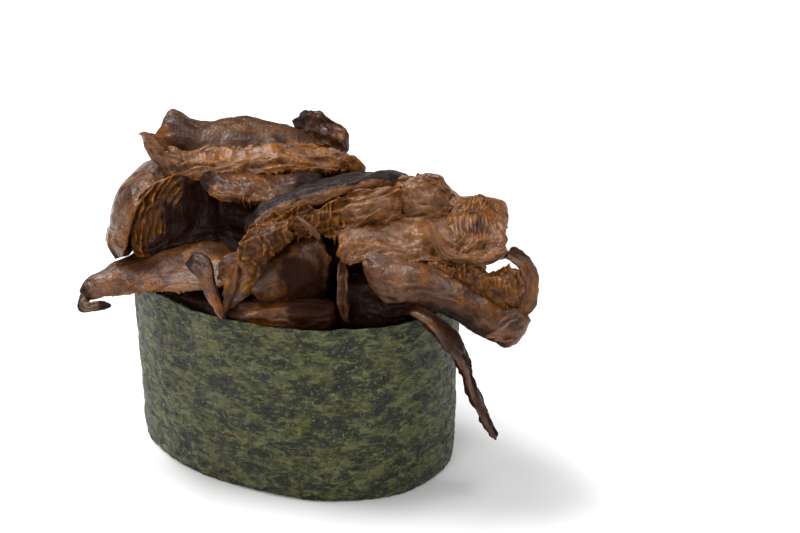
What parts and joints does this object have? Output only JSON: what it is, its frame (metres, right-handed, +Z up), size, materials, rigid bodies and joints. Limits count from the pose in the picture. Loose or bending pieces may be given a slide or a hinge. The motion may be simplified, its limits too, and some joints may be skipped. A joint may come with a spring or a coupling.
{
  "type": "shiitake gunkan sushi",
  "caption": "Gunkan sushi: an oval nori band round pressed rice, heaped with braised shiitake slices that show dark skin, cut flesh and gills.",
  "frame": {"origin": "middle of the flat underside of the rice and the nori band, on the surface that the piece stands on", "axes": "+X along the long axis of the oval band and of the whole piece, +Y across it towards the back, where the nori seam is, +Z up"},
  "size_m": [0.0761, 0.0574, 0.0549],
  "materials": {
    "nori": "satin",
    "sushi_rice": "satin",
    "braised_skin": "gloss",
    "braised_flesh": "gloss",
    "amber_gills": "gloss",
    "dark_glazed": "gloss"
  },
  "bodies": {
    "root": {"nori_band": "nori", "rice_block": "sushi_rice", "dangling_strip": "dark_glazed", "hook_strip": "braised_skin", "centre_fold_strip": "braised_skin", "centre_fold_left": "braised_flesh", "red_curl": "braised_flesh", "front_knob": "braised_flesh", "right_front_slice": "braised_flesh", "front_gill_ridge": "amber_gills", "left_tongue_slice": "braised_flesh", "centre_petal": "amber_gills", "centre_gill_lump": "amber_gills", "rim_slice_front": "amber_gills", "rim_slice_left": "dark_glazed", "hanging_fringe": "braised_skin", "swirl_lip": "braised_flesh", "upper_right_slab": "braised_flesh", "gill_swirl_slice": "braised_flesh", "mid_flesh_chunk": "braised_flesh", "long_cut_slice": "braised_flesh", "long_gill_curtain": "amber_gills", "gill_tuft": "amber_gills", "dark_core_slice": "dark_glazed", "upper_amber_strip": "amber_gills", "upper_gill_strip": "braised_flesh", "left_cap_half": "braised_skin", "cavity_fold": "dark_glazed", "back_cap_slice": "braised_skin", "back_dark_chunk": "dark_glazed", "back_crown_slice": "braised_skin", "back_rim_flap": "amber_gills", "back_tongue_slice": "braised_flesh", "right_cap_half": "braised_skin", "right_rim_slice": "braised_flesh", "back_rim_slice": "dark_glazed", "right_inner_fold": "braised_flesh", "core_top_fold": "braised_flesh", "core_fold_left": "braised_flesh", "core_fold_right": "braised_flesh", "core_slice_left": "braised_skin", "core_slice_right": "braised_skin", "bed_slice_left": "braised_skin", "bed_slice_right": "braised_skin"}
  },
  "joints": []
}
